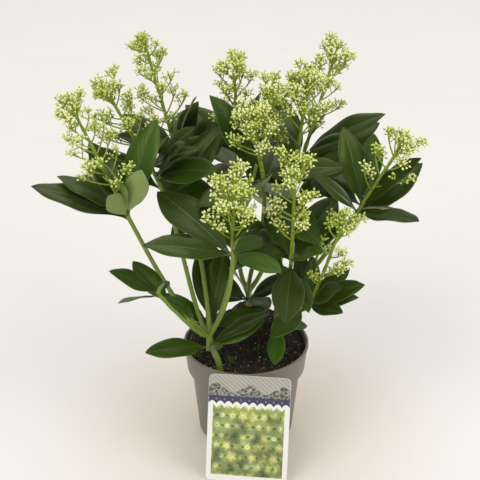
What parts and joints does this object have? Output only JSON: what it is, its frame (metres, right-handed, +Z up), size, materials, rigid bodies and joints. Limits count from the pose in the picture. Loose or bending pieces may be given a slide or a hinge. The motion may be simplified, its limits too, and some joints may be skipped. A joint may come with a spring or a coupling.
{
  "type": "potted skimmia shrub",
  "caption": "Small evergreen skimmia shrub with whorled leaves and upright panicles of flower buds, growing in a round nursery pot with a card label leaning on it.",
  "frame": {"origin": "centre of the pot's flat underside, on the surface that the pot stands on", "axes": "+Z up, -Y towards the plant's front, where the label leans on the pot, +X to the right as seen from the front"},
  "size_m": [0.3806, 0.335, 0.414],
  "materials": {
    "pot": "satin taupe moulded plastic",
    "peat": "rough dark moist peat",
    "label": "glossy printed card",
    "bark": "smooth green young bark",
    "foliage": "glossy dark evergreen leaves"
  },
  "bodies": {
    "root": {"pot": "pot", "peat": "peat", "plant_label": "label", "trunk_left": "bark", "trunk_right": "bark", "trunk_back": "bark", "bough_far_left": "bark", "bough_left_inner": "bark", "bough_top_left": "bark", "bough_centre_left": "bark", "bough_front": "bark", "bough_low_left": "bark", "bough_top_centre": "bark", "bough_top_right": "bark", "bough_centre": "bark", "bough_centre_right": "bark", "bough_far_right": "bark", "bough_front_right": "bark", "bough_low_right": "bark", "bough_low_right_inner": "bark", "foliage_far_left": "foliage", "foliage_left_inner": "foliage", "foliage_top_left": "foliage", "foliage_centre_left": "foliage", "foliage_front": "foliage", "foliage_low_left": "foliage", "foliage_top_centre": "foliage", "foliage_top_right": "foliage", "foliage_centre": "foliage", "foliage_centre_right": "foliage", "foliage_far_right": "foliage", "foliage_front_right": "foliage", "foliage_low_right": "foliage", "foliage_low_right_inner": "foliage", "foliage_left_tuft": "foliage", "foliage_inner_tuft": "foliage", "foliage_right_tuft": "foliage", "foliage_back_tuft": "foliage"}
  },
  "joints": []
}
